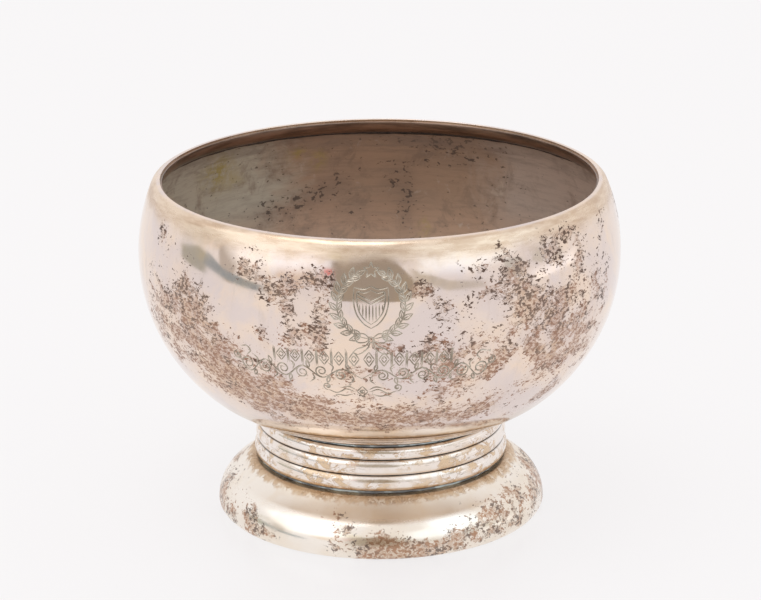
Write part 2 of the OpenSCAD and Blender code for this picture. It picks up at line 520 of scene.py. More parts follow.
def engraved_patch(border, grid):
    """Triangulates the flat ornament inside its border. Returns flat points, faces, each point's
    depth and the border's point numbers."""
    lines, edges, samples = cut_lines(ornament())
    tree = KDTree(len(samples))
    for k, (x, y, _) in enumerate(samples):
        tree.insert((x, y, 0.0), k)
    tree.balance()
    points = [tuple(p) for p in border]
    rim_edges = [(k, (k + 1) % len(border)) for k in range(len(border))]
    base = len(points)
    points.extend(tuple(p) for p in lines)
    rim_edges.extend((a + base, b + base) for a, b in edges)
    for x, y in grid:
        _, k, gap = tree.find((x, y, 0.0))
        if gap > samples[k][2] + 0.3:
            points.append((x, y))
    made = delaunay_2d_cdt([Vector(p) for p in points], rim_edges, [], 0, 1e-5, True)
    flat = np.array([tuple(v) for v in made[0]])
    depth = np.zeros(len(flat))
    for i, (x, y) in enumerate(flat):
        deepest = 0.0
        for _, k, gap in tree.find_range((x, y, 0.0), 0.3):
            wide = samples[k][2]
            deepest = max(deepest, (1 - gap / wide) * wide)
        depth[i] = deepest * CUT_DEPTH / 0.22
    owner = {}
    for new, sources in enumerate(made[3]):
        for source in sources:
            if source < base:
                owner[source] = new
    return flat, made[2], depth, owner


def bowl_mesh():
    """The bowl as one closed mesh. A window in the lathe's grid is filled with the engraved patch."""
    points, starts, ends = bowl_outline()
    size = 360
    turns = np.linspace(0, 2 * pi, size, endpoint=False)
    count = len(points)
    place = spun(points, turns)
    vertices = [tuple(place[0, 0]), tuple(place[0, -1])]
    number = np.zeros((size, count), int)
    number[:, -1] = 1
    for j in range(size):
        for i in range(1, count - 1):
            number[j, i] = len(vertices)
            vertices.append(tuple(place[j, i]))

    # The window's rows are belly rows; its columns run either side of the front.
    arm = points - BELLY
    on_belly = np.abs(np.linalg.norm(arm, axis=1) - BELLY_R) < 1e-6
    rise = np.arctan2(arm[:, 1], arm[:, 0]) * BELLY_R
    rows = [i for i in range(count) if on_belly[i] and PATCH_LOW < rise[i] < PATCH_HIGH]
    mm_per_turn = (BELLY[0] + BELLY_R) * 2 * pi / size
    reach = int(PATCH_HALF / mm_per_turn)
    low, high = rows[0], rows[-1]

    def flat_of(j, i):
        return j * mm_per_turn, rise[i]

    border = [(j, low) for j in range(-reach, reach)]
    border += [(reach, i) for i in range(low, high)]
    border += [(j, high) for j in range(reach, -reach, -1)]
    border += [(-reach, i) for i in range(high, low, -1)]
    inside = [flat_of(j, i) for j in range(1 - reach, reach) for i in range(low + 1, high)]
    flat, triangles, depth, owner = engraved_patch([flat_of(j, i) for j, i in border], inside)

    faces = []
    normals = []
    slots = []
    inner_from = inner_start(points)
    for j in range(size):
        k = (j + 1) % size
        signed = j if j < size / 2 else j - size
        for i in range(count - 1):
            if -reach <= signed < reach and low <= i < high:
                continue
            loop = ((j, i, starts[i]), (k, i, starts[i]), (k, i + 1, ends[i]), (j, i + 1, ends[i]))
            if i == 0:
                loop = (loop[0], loop[2], loop[3])
            elif i == count - 2:
                loop = (loop[0], loop[1], loop[2])
            faces.append([int(number[turn, row]) for turn, row, _ in loop])
            for turn, _, normal in loop:
                normals.append(facing(normal, turns[turn]))
            slots.append(1 if i >= inner_from else 0)

    known = {owner[k]: int(number[j % size, i]) for k, (j, i) in enumerate(border)}
    where, out = belly_place(flat[:, 0], flat[:, 1], depth)
    final = []
    for k in range(len(flat)):
        if k in known:
            final.append(known[k])
        else:
            final.append(len(vertices))
            vertices.append(tuple(where[k]))
    for triangle in triangles:
        a, b, c = (Vector(where[k]) for k in triangle)
        across = (b - a).cross(c - a)
        if across.length < 1e-13:
            continue
        cut = any(depth[k] > 0.004 for k in triangle)
        faces.append([final[k] for k in triangle])
        for k in triangle:
            normals.append(tuple(across.normalized()) if cut else tuple(out[k]))
        slots.append(2 if cut else 0)

    mesh = bpy.data.meshes.new("bowl_shell")
    mesh.from_pydata(vertices, [], faces)
    smooth_shade(mesh, normals)
    mesh.polygons.foreach_set("material_index", slots)
    return mesh


# ---------------------------------------------------------------- rings, foot and solder


def rim_wire_outline():
    """The wire under the rolled lip: its back follows the sheet and its face is round."""
    inner = BELLY_R - GAUGE
    lip_inner = LIP_ROLL_R - GAUGE
    centre = np.array([MOUTH_R + WIRE_R, LIP_Z - WIRE_DROP])
    gap = np.linalg.norm(centre - BELLY)
    along = (gap**2 + inner**2 - WIRE_R**2) / (2 * gap)
    across = sqrt(inner**2 - along**2)
    way = (centre - BELLY) / gap
    seam = BELLY + along * way + across * np.array([way[1], -way[0]])
    seam_angle = bearing(seam, BELLY)
    top = LIP + polar(lip_inner, 90)
    face_from = 180 - rise_angle(top[1] - centre[1], WIRE_R)
    face_to = 360 + bearing(seam, centre)
    runs = [
        arc(BELLY, inner, seam_angle, LIP_FROM, 1.5),
        arc(LIP, lip_inner, LIP_FROM, 90, 0.6),
        line(top, centre + polar(WIRE_R, face_from), 0.3),
        arc(centre, WIRE_R, face_from, face_to, 0.45),
    ]
    return outline(runs, corners={2: 0.2}), seam


def reed_outline(node):
    """A ring with a flat back, softened edges and a face crowned between its two grooves."""
    low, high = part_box(node)
    top_z = top_of("upper_reed_ring")
    span = top_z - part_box("lower_reed_ring")[0].z / MM
    grow = (COLLAR_BASE_R - COLLAR_TOP_R) / span
    bottom = np.array([COLLAR_TOP_R + grow * (top_z - low.z / MM), low.z / MM])
    top = np.array([COLLAR_TOP_R + grow * (top_z - high.z / MM), high.z / MM])
    chord = np.linalg.norm(top - bottom)
    r = chord**2 / (8 * REED_CROWN) + REED_CROWN / 2
    outward = np.array([top[1] - bottom[1], bottom[0] - top[0]]) / chord
    centre = (top + bottom) / 2 - (r - REED_CROWN) * outward
    runs = [
        arc(centre, r, bearing(bottom, centre), bearing(top, centre), 0.3),
        line(top, (NECK_R, top[1]), 0.6),
        line((NECK_R, top[1]), (NECK_R, bottom[1]), 2.0),
        line((NECK_R, bottom[1]), bottom, 0.6),
    ]
    return outline(runs, corners={0: 0.34, 3: 0.34})


def foot_outline():
    """Turned-under edge, dome, cove, ledge and sleeve outside, and back down inside."""
    outer_low = rise_angle(FOOT_WIRE_H - TURN_R, TURN_R)
    inner_low = rise_angle(FOOT_WIRE_H - TURN_R, TURN_R - GAUGE)
    ledge = rise_angle(COVE[1] - LEDGE_Z, COVE_R)
    under = rise_angle(COVE[1] - LEDGE_Z + GAUGE, COVE_R + GAUGE)
    ledge_end = COVE + polar(COVE_R, 180 + ledge)
    under_end = COVE + polar(COVE_R + GAUGE, 180 + under)
    sleeve_top = top_of("foot")
    outer_foot = TURN + polar(TURN_R, outer_low)
    inner_foot = TURN + polar(TURN_R - GAUGE, inner_low)
    runs = [
        arc(TURN, TURN_R, outer_low, 0, 0.3),
        arc(DOME, DOME_R, 0, COVE_FROM, 0.8),
        arc(COVE, COVE_R, 180 + COVE_FROM, 180 + ledge, 0.8),
        line(ledge_end, (NECK_R, LEDGE_Z), 0.8),
        line((NECK_R, LEDGE_Z), (NECK_R, sleeve_top), 4.0),
        line((NECK_R, sleeve_top), (NECK_R - GAUGE, sleeve_top), 1.0),
        line((NECK_R - GAUGE, sleeve_top), (NECK_R - GAUGE, LEDGE_Z - GAUGE), 1.5),
        line((NECK_R - GAUGE, LEDGE_Z - GAUGE), under_end, 1.0),
        arc(COVE, COVE_R + GAUGE, 180 + under, 180 + COVE_FROM, 1.2),
        arc(DOME, DOME_R - GAUGE, COVE_FROM, 0, 1.2),
        arc(TURN, TURN_R - GAUGE, 0, inner_low, 0.5),
        line(inner_foot, outer_foot, 1.0),
    ]
    return outline(runs, corners={2: 1.2, 6: 0.9})


def foot_wire_outline():
    """The wire under the foot: its outside carries on the foot's turned-under edge."""
    top = rise_angle(FOOT_WIRE_H - TURN_R, TURN_R)
    outer_top = TURN + polar(TURN_R, top)
    inner = TURN[0] - FOOT_WIRE_W
    runs = [
        arc(TURN, TURN_R, -90, top, 0.3),
        line(outer_top, (inner, FOOT_WIRE_H), 0.5),
        line((inner, FOOT_WIRE_H), (inner, 0), 0.4),
        line((inner, 0), (TURN[0], 0), 0.5),
    ]
    return outline(runs, corners={1: 0.15, 2: 0.25})


def blob_outline(centre, r, count=10):
    """A round solder bead seen in section."""
    points, normals = arc(np.array(centre, float), r, 0, 360, 2 * pi * r / count)
    return points[:-1], normals[:-1], normals[1:]


def uneven(seed, amount, lump=9.0):
    """A bead's swelling and thinning as it goes round."""
    drift = np.random.default_rng(seed).uniform(0, 50, 3)

    def swell(turns, points):
        move = np.zeros((len(turns), len(points)))
        for j, a in enumerate(turns):
            for i, (r, z) in enumerate(points):
                at = Vector((r * sin(a), r * cos(a), z * 2.0)) / lump + Vector(drift)
                move[j, i] = amount * (noise.noise(at) + 0.6 * noise.noise(at * 3.1))
        return move

    return swell


def notch(seam, depth):
    """The faint valley of a soldered butt joint across a ring."""

    def swell(turns, points):
        gap = np.angle(np.exp(1j * (turns - seam)))
        valley = np.exp(-((gap / 0.005) ** 2))
        return -depth * valley[:, None] * np.ones((1, len(points)))

    return swell


def build_pieces():
    """Makes every piece; returns them by the name of the node that each stands for."""
    pieces = {"bowl": add_piece("bowl_shell", bowl_mesh(), "bowl")}

    def turn(name, node, slot, shape, turns, swell=None):
        pieces[node] = add_piece(name, lathe(name, shape, turns, swell), node)

    wire, seam = rim_wire_outline()
    joint = radians(171)
    turn("rim_band", "rim_wire", "rim_silver", wire, around(360, [joint]), notch(joint, 0.08))
    bead = blob_outline(seam + np.array([-0.2, -0.3]), 0.4)
    turn("rim_seam_bead", "rim_solder", "silver_solder", bead, around(300), uneven(3, 0.25))

    for k, node in enumerate(REEDS):
        name = node.replace("ring", "wire")
        joint = radians(186 + 4 * k)
        shape = reed_outline(node)
        turn(name, node, "collar_silver", shape, around(360, [joint]), notch(joint, 0.1))
    bead = blob_outline((NECK_R + 0.1, top_of(REEDS[0]) + 0.2), 0.8)
    turn("neck_seam_bead", "neck_solder", "silver_solder", bead, around(360), uneven(5, 0.22, 6.0))
    collar_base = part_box(REEDS[-1])[0].z / MM
    crust = blob_outline((NECK_R + 1.25, (LEDGE_Z + collar_base) / 2), 0.58)
    turn("collar_crust", "collar_solder", "silver_solder", crust, around(480), uneven(8, 0.16, 3.0))

    turn("spun_foot", "foot", "foot_silver", foot_outline(), around(360))
    turn("resting_wire", "foot_wire", "foot_silver", foot_wire_outline(), around(300))
    corner = TURN[0] + sqrt((TURN_R - GAUGE) ** 2 - (TURN_R - FOOT_WIRE_H) ** 2)
    bead = blob_outline((corner - 0.3, FOOT_WIRE_H + 0.15), 0.42)
    turn("foot_seam_bead", "foot_wire_solder", "silver_solder", bead, around(300), uneven(13, 0.2, 5.0))
    return pieces


# ---------------------------------------------------------------- where the silver has tarnished

# Each spot: azimuth, height, reach to the sides, reach up and down, lean (degrees), strength. A negative
# strength wipes the silver clean.
BOWL_SPOTS = (
    (-63, 99, 3, 3, 0, 0.4), (-58, 96, 2, 4, 0, 0.4), (-51, 88, 3, 7, 0, 0.55), (-60, 79, 9, 9, 0, 0.42),
    (-66, 72, 7, 10, 0, 0.4), (-56, 66, 8, 7, 0, 0.4), (-50, 78, 9, 8, -30, 0.6), (-45, 74, 7, 7, -45, 0.6),
    (-42, 69, 6, 8, 40, 0.6), (-41, 62, 5, 8, 30, 0.7), (-31, 58, 9, 5, -30, 0.68),
    (-26, 64, 6, 4, -30, 0.6), (-36, 56, 8, 5, -30, 0.85), (-44, 58, 8, 5, -30, 0.55),
    (-35, 73, 3, 4, 0, 0.4), (-44, 85, 3, 3, 0, 0.4), (-32, 98, 5, 4, 0, 0.5), (-28, 93, 8, 2.5, -25, 0.45),
    (-21, 93, 6, 3.5, 10, 0.55), (-15, 95, 4, 5, 0, 0.5), (-21, 87, 3.5, 3.5, 0, 0.45),
    (-13, 87, 2.5, 8, 0, 0.5), (-19, 79, 3.5, 4, 0, 0.65), (-14, 79, 2.5, 4, 0, 0.6),
    (-27, 79, 4, 3, -40, 0.4), (-50, 84, 5, 5, 0, 0.5), (0, 77, 4, 2, -25, 0.6), (-5, 68, 12, 2, 0, 0.4),
    (-6, 63, 7, 3, -10, 0.45), (-23, 53, 8, 4, -20, 0.66), (-15, 57, 5, 2.5, 0, 0.5),
    (-30, 48, 8, 3, -25, 0.5), (-10, 52, 18, 5, 0, 0.7), (8, 50, 16, 5, 5, 0.68),
    (-30, 60, 10, 6, -20, 0.35), (68, 102, 5, 2, 30, 0.4), (48, 103, 4, 2, 0, 0.5), (54, 99, 3, 5, 0, 0.4),
    (43, 99, 5, 5, 0, 0.5), (52, 94, 3, 6, 0, 0.45), (31, 102, 3, 2, -40, 0.45), (22, 99, 4, 4, 0, 0.3),
    (34, 97, 6, 4, 20, 0.45), (32, 92, 9, 4, 0, 0.5), (23, 90, 4, 3, 0, 0.4), (8, 95, 2.5, 4, 0, 0.4),
    (12, 90, 7, 2.5, -40, 0.6), (47, 83, 9, 6, 0, 0.5), (46, 74, 13, 8, 20, 0.62), (40, 88, 10, 6, 0, 0.4),
    (36, 80, 8, 8, 0, 0.4), (22, 80, 5, 6, 20, 0.6), (29, 81, 5, 5, 0, 0.45), (32, 74, 7, 3, 10, 0.55),
    (38, 70, 4, 4, 0, 0.6), (46, 66, 8, 6, 30, 0.6), (58, 66, 9, 8, 30, 0.5), (10, 77, 4, 5, -20, 0.5),
    (15, 71, 8, 5, 10, 0.68), (29, 71, 3, 2, 0, 0.55), (26, 65, 7, 2.5, 35, 0.62),
    (18, 61, 10, 4, 25, 0.65), (30, 57, 4, 2, 10, 0.45), (42, 59, 5, 3, 30, 0.5), (50, 50, 9, 4, 30, 0.55),
    (24, 51, 10, 4, 10, 0.68), (60, 85, 3, 12, 0, 0.45), (66, 88, 3, 8, 0, 0.35), (43, 92, 6, 3, 0, -0.85),
    (34, 65, 6, 5, 0, -0.8), (27, 60, 5, 3, 30, -0.6), (25, 84, 5, 4, 0, -0.6), (51, 81, 4, 3, 20, -0.6),
    (33, 75, 3, 3, 0, -0.4), (40, 57, 5, 2, 30, -0.5),
)
FOOT_SPOTS = (
    (-66, 4, 5, 3, 0, 0.6), (-54, 5, 5, 3.5, -20, 0.6), (-43, 4, 4, 2, 0, 0.65),
    (-13, 9.5, 3.5, 3.5, 0, 0.5), (-16, 13, 5, 2, 0, 0.4), (-4, 3, 8, 3, 0, 0.65), (8, 3, 10, 3.5, 0, 0.8),
    (20, 3.5, 7, 3, 0, 0.62), (28, 6, 6, 4, 20, 0.5), (40, 7, 6, 4, 0, 0.6), (50, 7, 7, 5, 0, 0.62),
    (62, 10, 5, 6, 0, 0.55), (34, 11, 7, 3, 0, 0.35), (3, 6.5, 5, 3, 0, 0.55), (74, 9, 5, 6, 0, 0.5),
    (23, 10, 6, 3, 0, -0.8),
)
# The same for the bowl's inside: groups of black specks, and yellow-green stains.
INNER_SPECKS = (
    (165, 100, 7, 2, 0, 0.9), (150, 96, 5, 2.5, 0, 0.8), (-150, 77, 6, 3.5, 0, 0.9),
    (-161, 80, 8, 3, 18, 0.9), (-168, 83, 5, 2.5, 30, 0.85), (173, 79, 2.5, 10, 0, 1.0),
    (176, 86, 4, 5, 0, 0.6), (-173, 74, 4, 3, 0, 0.4), (168, 91, 7, 1.5, 0, 0.6),
    (160, 98, 8, 3.5, 0, 0.95), (158, 93.5, 5, 1.5, 0, 0.7), (178, 99, 9, 1.5, 0, 0.5),
    (-168, 99, 6, 1.5, 0, 0.35), (-152, 95, 2, 5, 25, 0.45), (-176, 90, 3, 2, 0, 0.4),
    (148, 99.5, 5, 1.5, 0, 0.4), (20, 70, 7, 5, 0, 0.8), (-40, 80, 6, 6, 0, 0.7), (75, 85, 5, 7, 0, 0.7),
    (0, 95, 9, 3, 0, 0.6), (-85, 72, 6, 4, 0, 0.6),
)
INNER_STAINS = (
    (-134, 95.5, 5.5, 5, 0, 1.0), (-158, 97, 2.5, 1.6, 0, 0.8), (-164, 92.5, 2, 2.4, 0, 0.8),
    (-140, 90, 3, 2, 0, 0.5), (168, 70, 1.5, 2, 0, 0.7), (35, 88, 4, 4, 0, 0.7), (-60, 66, 5, 3, 0, 0.6),
)


def random_spots(seed, count, azimuths, heights, strengths):
    """Spots for the sides that face away, in the same form."""
    draw = np.random.default_rng(seed)
    spots = []
    for _ in range(count):
        azimuth = draw.uniform(*azimuths)
        height = draw.uniform(*heights)
        wide, tall = draw.uniform(2.5, 10), draw.uniform(2.5, 7)
        spots.append((azimuth, height, wide, tall, draw.uniform(-45, 45), draw.uniform(*strengths)))
    return spots


def coverage(place, outer, spots):
    """How heavily each place (in millimetres) is covered by spots that lie on an outer outline."""
    clear = np.ones(len(place))
    wiped = np.ones(len(place))
    for azimuth, height, wide, tall, lean, strength in spots:
        a = radians(azimuth)
        i = int(np.argmin(np.abs(outer[:, 1] - height)))
        i = min(max(i, 1), len(outer) - 2)
        r, z = outer[i]
        rise = outer[i + 1] - outer[i - 1]
        rise = rise / np.linalg.norm(rise)
        middle = np.array([r * sin(a), -r * cos(a), z])
        side = np.array([cos(a), sin(a), 0.0])
        up = np.array([rise[0] * sin(a), -rise[0] * cos(a), rise[1]])
        gap = place - middle
        x = gap @ side
        y = gap @ up
        c, s = cos(radians(lean)), sin(radians(lean))
        reach = ((c * x + s * y) / wide) ** 2 + ((c * y - s * x) / tall) ** 2
        reach = reach + ((gap**2).sum(axis=1) - x**2 - y**2) / max(wide, tall) ** 2
        shade = abs(strength) * np.exp(-0.7 * reach)
        if strength > 0:
            clear *= 1 - np.minimum(shade, 0.999)
        else:
            wiped *= 1 - shade
    return (1 - clear) * wiped


def places_of(mesh):
    """Vertex positions in millimetres."""
    co = np.zeros(len(mesh.vertices) * 3)
    mesh.vertices.foreach_get("co", co)
    return co.reshape(-1, 3) / MM


def write_fields(pieces):
    """Stores where each silver piece is tarnished, and how near a reed's face is to its grooves, for the
    painted shade there.
    """
    for node in REEDS:
        low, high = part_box(node)
        z = places_of(pieces[node].data)[:, 2]
        # How near each point is to its ring's top or bottom edge, for the painted shade in the grooves.
        edge = np.minimum(z - low.z / MM, high.z / MM - z)
        write_field(pieces[node].data, "groove", np.exp(-((edge / 0.2) ** 2)))
    points = bowl_outline()[0]
    outer = points[: int(np.argmax(points[:, 1])) + 1]
    inner = points[inner_start(points) :]
    back = random_spots(17, 46, (80, 280), (46, 103), (0.35, 0.7))
    place = places_of(pieces["bowl"].data)
    write_field(pieces["bowl"].data, "tarnish", coverage(place, outer, BOWL_SPOTS + tuple(back)))
    write_field(pieces["bowl"].data, "specks", coverage(place, inner, INNER_SPECKS))
    write_field(pieces["bowl"].data, "stain", coverage(place, inner, INNER_STAINS))

    foot = foot_outline()[0]
    outer = foot[: int(np.argmin(np.abs(foot[:, 1] - LEDGE_Z) + np.abs(foot[:, 0] - NECK_R))) + 1]
    back = random_spots(23, 18, (78, 290), (2, 13), (0.3, 0.65))
    for node in ("foot", "foot_wire"):
        place = places_of(pieces[node].data)
        write_field(pieces[node].data, "tarnish", coverage(place, outer, FOOT_SPOTS + tuple(back)))


pieces = build_pieces()
write_fields(pieces)

# ---------------------------------------------------------------- materials


class Value:
    """A number, colour or direction inside a material, to work on or to feed to an input."""

    def __init__(self, shade, socket):
        self.shade = shade
        self.socket = socket

    def math(self, operation, other=0.0):
        return self.shade.add("ShaderNodeMath", {0: self, 1: other}, operation=operation)

    def __add__(self, other):
        return self.math("ADD", other)

    def __sub__(self, other):
        return self.math("SUBTRACT", other)

    def __mul__(self, other):
        return self.math("MULTIPLY", other)

    def most(self, other):
        return self.math("MAXIMUM", other)

    def least(self, other):
        return self.math("MINIMUM", other)

    def gap(self, other):
        """How far apart two numbers are."""
        return (self - other).math("ABSOLUTE")

    def ramp(self, low, high, start=0.0, end=1.0):
        """Goes smoothly from start to end as the number goes from low to high."""
        inputs = {"Value": self, "From Min": low, "From Max": high, "To Min": start, "To Max": end}
        return self.shade.add("ShaderNodeMapRange", inputs, interpolation_type="SMOOTHSTEP")


class Shading:
    """A material being put together from nodes."""

    def __init__(self, name):
        self.material = bpy.data.materials.new(name)
        self.material.use_nodes = True
        self.nodes = self.material.node_tree.nodes
        self.links = self.material.node_tree.links
        self.nodes.clear()

    def add(self, kind, inputs=None, result=0, **settings):
        """Adds a node and returns one of its results."""
        node = self.nodes.new(kind)
        for key, value in settings.items():
            setattr(node, key, value)
        for key, value in (inputs or {}).items():
            self.feed(node.inputs[key], value)
        return Value(self, node.outputs[result])

    def feed(self, socket, value):
        if isinstance(value, Value):
            self.links.new(value.socket, socket)
        elif socket.type == "RGBA":
            socket.default_value = (*value, 1.0)
        else:
            socket.default_value = value

    def show(self, surface):
        """Makes a shader the surface of the material, and returns the material."""
        output = self.nodes.new("ShaderNodeOutputMaterial")
        self.feed(output.inputs["Surface"], surface)
        return self.material

    def finish(self, colour, roughness, normal=None, metallic=1.0):
        inputs = {"Base Color": colour, "Roughness": roughness, "Metallic": metallic}
        if normal is not None:
            inputs["Normal"] = normal
        return self.show(self.add("ShaderNodeBsdfPrincipled", inputs))

    @cached_property
    def place(self):
        """Where the surface is, in millimetres."""
        here = self.add("ShaderNodeTexCoord", result="Object")
        return self.add("ShaderNodeVectorMath", {0: here, 3: 1 / MM}, operation="SCALE")

    def stretched(self, scale, turn=(0, 0, 0)):
        """Places for a texture that is drawn out: a small scale makes it long that way."""
        angles = tuple(radians(a) for a in turn)
        return self.add("ShaderNodeMapping", {"Vector": self.place, "Rotation": angles, "Scale": scale})

    def noise(self, size, detail=2.0, rough=0.5, warp=0.0, place=None):
        """Cloudy noise around 0.5, with features of about `size` millimetres."""
        inputs = {"Vector": place or self.place, "Scale": 1 / size, "Detail": detail}
        inputs.update({"Roughness": rough, "Distortion": warp})
        return self.add("ShaderNodeTexNoise", inputs, "Fac")

    def field(self, name):
        return self.add("ShaderNodeAttribute", result="Fac", attribute_name=name)

    def mix(self, amount, a, b):
        """Between two colours."""
        return self.add("ShaderNodeMix", {0: amount, 6: a, 7: b}, 2, data_type="RGBA")

    def axis(self, name):
        """One coordinate, in millimetres."""
        return self.add("ShaderNodeSeparateXYZ", {0: self.place}, name)

    def bump(self, value, depth, below=None):
        """Raises the surface by up to `depth` millimetres."""
        inputs = {"Height": value, "Distance": depth * MM, "Strength": 1.0}
        if below is not None:
            inputs["Normal"] = below
        return self.add("ShaderNodeBump", inputs)


def tarnish_layers(shade, density, size=1.0):
    """Stains with ragged, dark edges and a paler film inside, crossed by threads of clean silver, and
    fine specks in and round them. Returns the film and the specks."""
    grain = shade.stretched((0.82, 0.82, 1.22), (14, 24, 0))
    ragged = shade.noise(5.6 * size, 6.0, 0.70, 0.35, grain)
    local = density + (ragged - 0.5) * 3.1
    cover = local.ramp(0.50, 0.54)
    threads = shade.noise(1.0 * size, 2.0, 0.6, 0.8, grain).gap(0.5).ramp(0.004, 0.034, 0.05, 1.0)
    mottle = shade.noise(1.7 * size, 3.0, 0.6).ramp(0.38, 0.6, 0.5, 1.0)
    film = cover * threads * mottle
    lift = ((local - 0.48) * 0.30).least(0.07)
    fine = shade.noise(1.0 * size, 2.0, 0.6, 0.3, grain) + lift
    specks = fine.ramp(0.555, 0.58)
    edge = local.gap(0.545).ramp(0.055, 0.015) * threads
    present = density.ramp(0.05, 0.16)
    return film * present, specks.most(edge * 0.75) * present


def polish_bump(shade):
    """Hand-finished sheet: slow waves and hair-fine polishing scratches."""
    waves = shade.bump(shade.noise(34.0, 1.0, 0.4), 0.11)
    hair = shade.noise(0.35, 2.0, 0.6, 0.0, shade.stretched((1.0, 1.0, 0.06), (35, 20, 10)))
    return shade.bump(hair, 0.0016, waves)


def bowl_silver():
    shade = Shading("bowl_silver")
    density = shade.field("tarnish")
    film, specks = tarnish_layers(shade, density)
    height = shade.axis("Z")
    # Clean silver: warm and cool clouds, and marks left by wiping.
    cloud = shade.noise(24.0, 4.0, 0.6, 0.5).ramp(0.42, 0.60)
    warm = shade.noise(11.0, 4.0, 0.65, 0.4).ramp(0.42, 0.62)
    silver = shade.mix(warm, (0.835, 0.705, 0.62), (0.875, 0.71, 0.58))
    silver = shade.mix(cloud, silver, (0.77, 0.665, 0.625))
    wiped = shade.noise(5.0, 5.0, 0.68, 0.3, shade.stretched((1.0, 1.0, 0.35), (0, 25, 0)))
    silver = shade.mix(wiped.ramp(0.54, 0.68, 0.0, 0.4), silver, (0.66, 0.555, 0.49))
    # A tan film below the lip, worn off the lip's top.
    edge_noise = (shade.noise(6.0, 4.0, 0.65, 0.2) - 0.5) * 5.0
    lip = (height + edge_noise).ramp(99.5, 105.5, 0.0, 0.9)
    worn = height.ramp(107.4, 107.7, 1.0, 0.0)
    handled = shade.noise(5.0, 5.0, 0.7, 0.0, shade.stretched((0.3, 0.3, 1.6)))
    film_tan = shade.mix(handled.ramp(0.36, 0.64), (0.60, 0.435, 0.30), (0.82, 0.665, 0.51))
    silver = shade.mix(lip * worn, silver, film_tan)
    # Painted reflection of the foot and collar: golden streaks just above the neck.
    low = height.ramp(47.0, 40.0)
    streak = shade.noise(3.0, 4.0, 0.65, 0.0, shade.stretched((0.2, 0.2, 1.6))).ramp(0.38, 0.62)
    golden = shade.mix(streak, (0.46, 0.33, 0.22), (0.75, 0.61, 0.46))
    silver = shade.mix(low * 0.85, silver, golden)
    # The tarnish.
    silver = shade.mix(density.ramp(0.12, 0.8, 0.0, 0.3), silver, (0.74, 0.56, 0.44))
    tint = shade.noise(5.0, 3.0, 0.6).ramp(0.40, 0.60)
    brown = shade.mix(tint, (0.46, 0.295, 0.215), (0.60, 0.41, 0.28))
    silver = shade.mix(film * density.ramp(0.3, 0.75, 0.5, 0.88), silver, brown)
    deep = shade.noise(4.0, 2.0) + height.ramp(62.0, 96.0, 0.10, -0.12)
    darkest = shade.mix(deep.ramp(0.40, 0.60), (0.10, 0.06, 0.045), (0.33, 0.18, 0.12))
    silver = shade.mix(specks * density.ramp(0.25, 0.75, 0.95, 0.7), silver, darkest)
    gloss = shade.noise(12.0, 4.0, 0.65).ramp(0.35, 0.7, 0.055, 0.13)
    gloss = gloss + film * 0.12 + lip * 0.22 + specks * 0.22
    return shade.finish(silver, gloss, shade.bump(specks, 0.005, polish_bump(shade)))


def inside_patina():
    """The dull, never polished inside of the bowl, still marked by its spinning."""
    shade = Shading("inside_patina")
    across = shade.axis("X")
    height = shade.axis("Z")
    drift = (shade.noise(22.0, 5.0, 0.66, 0.7) - 0.5) * 1.5
    left = across.ramp(-8.0, -52.0) + drift
    right = across.ramp(14.0, 58.0) + drift
    base = shade.mix(left.ramp(0.2, 0.9), (0.46, 0.325, 0.235), (0.60, 0.59, 0.50))
    base = shade.mix(right.ramp(0.2, 0.9), base, (0.55, 0.46, 0.40))
    base = shade.mix(height.ramp(82.0, 70.0, 0.0, 0.6), base, (0.56, 0.37, 0.26))
    spun_lines = shade.noise(2.6, 5.0, 0.74, 0.2, shade.stretched((0.2, 0.2, 1.5)))
    base = shade.mix(spun_lines.ramp(0.42, 0.70, 0.0, 0.34), base, (0.25, 0.185, 0.145))
    smudge = shade.noise(9.0, 5.0, 0.72, 0.5).ramp(0.50, 0.68, 0.0, 0.6)
    base = shade.mix(smudge, base, (0.27, 0.20, 0.155))
    pale = shade.noise(6.0, 5.0, 0.72, 0.6).ramp(0.60, 0.72, 0.0, 0.45)
    base = shade.mix(pale, base, (0.66, 0.58, 0.50))
    yellow = shade.field("stain") * shade.noise(2.5, 4.0, 0.7).ramp(0.36, 0.60)
    base = shade.mix(yellow * 0.8, base, (0.46, 0.38, 0.09))
    specks = shade.field("specks")
    crowd = shade.noise(1.5, 2.0, 0.6, 0.3, shade.stretched((0.8, 0.8, 1.2))) + specks * 0.17
    base = shade.mix(specks * 0.42, base, (0.24, 0.18, 0.145))
    base = shade.mix(crowd.ramp(0.665, 0.745) * 0.78, base, (0.075, 0.06, 0.052))
    near_rim = height + (spun_lines - 0.5) * 16.0
    base = shade.mix(near_rim.ramp(94.0, 103.0, 0.0, 0.5), base, (0.27, 0.22, 0.19))
    gloss = spun_lines.ramp(0.3, 0.7, 0.36, 0.54)
    grain = shade.bump(shade.noise(1.2, 3.0, 0.6), 0.01, polish_bump(shade))
    return shade.finish(base, gloss, grain, metallic=0.4)


def cut_silver():
    """The engraver's cuts, with old polish and tarnish left in them."""
    shade = Shading("engraved_cut")
    packed = shade.noise(3.0, 2.0).ramp(0.35, 0.65)
    base = shade.mix(packed, (0.36, 0.31, 0.25), (0.56, 0.50, 0.42))
    return shade.finish(base, shade.noise(0.8, 2.0).ramp(0.3, 0.7, 0.22, 0.4))


def rim_silver():
    shade = Shading("rim_silver")
    streak = shade.noise(4.0, 5.0, 0.66, 0.0, shade.stretched((0.2, 0.2, 1.8)))
    # Painted shade: the wire is dark brown all over, for the shade under the rolled lip, in streaks along it.
    base = shade.mix(streak.ramp(0.35, 0.65), (0.17, 0.125, 0.10), (0.36, 0.255, 0.20))
    return shade.finish(base, streak.ramp(0.3, 0.7, 0.28, 0.42), polish_bump(shade))


def warm_silver(shade, cool, warm):
    """Silver that is here and there a little warmer."""
    return shade.mix(shade.noise(14.0, 3.0, 0.6).ramp(0.42, 0.62), cool, warm)


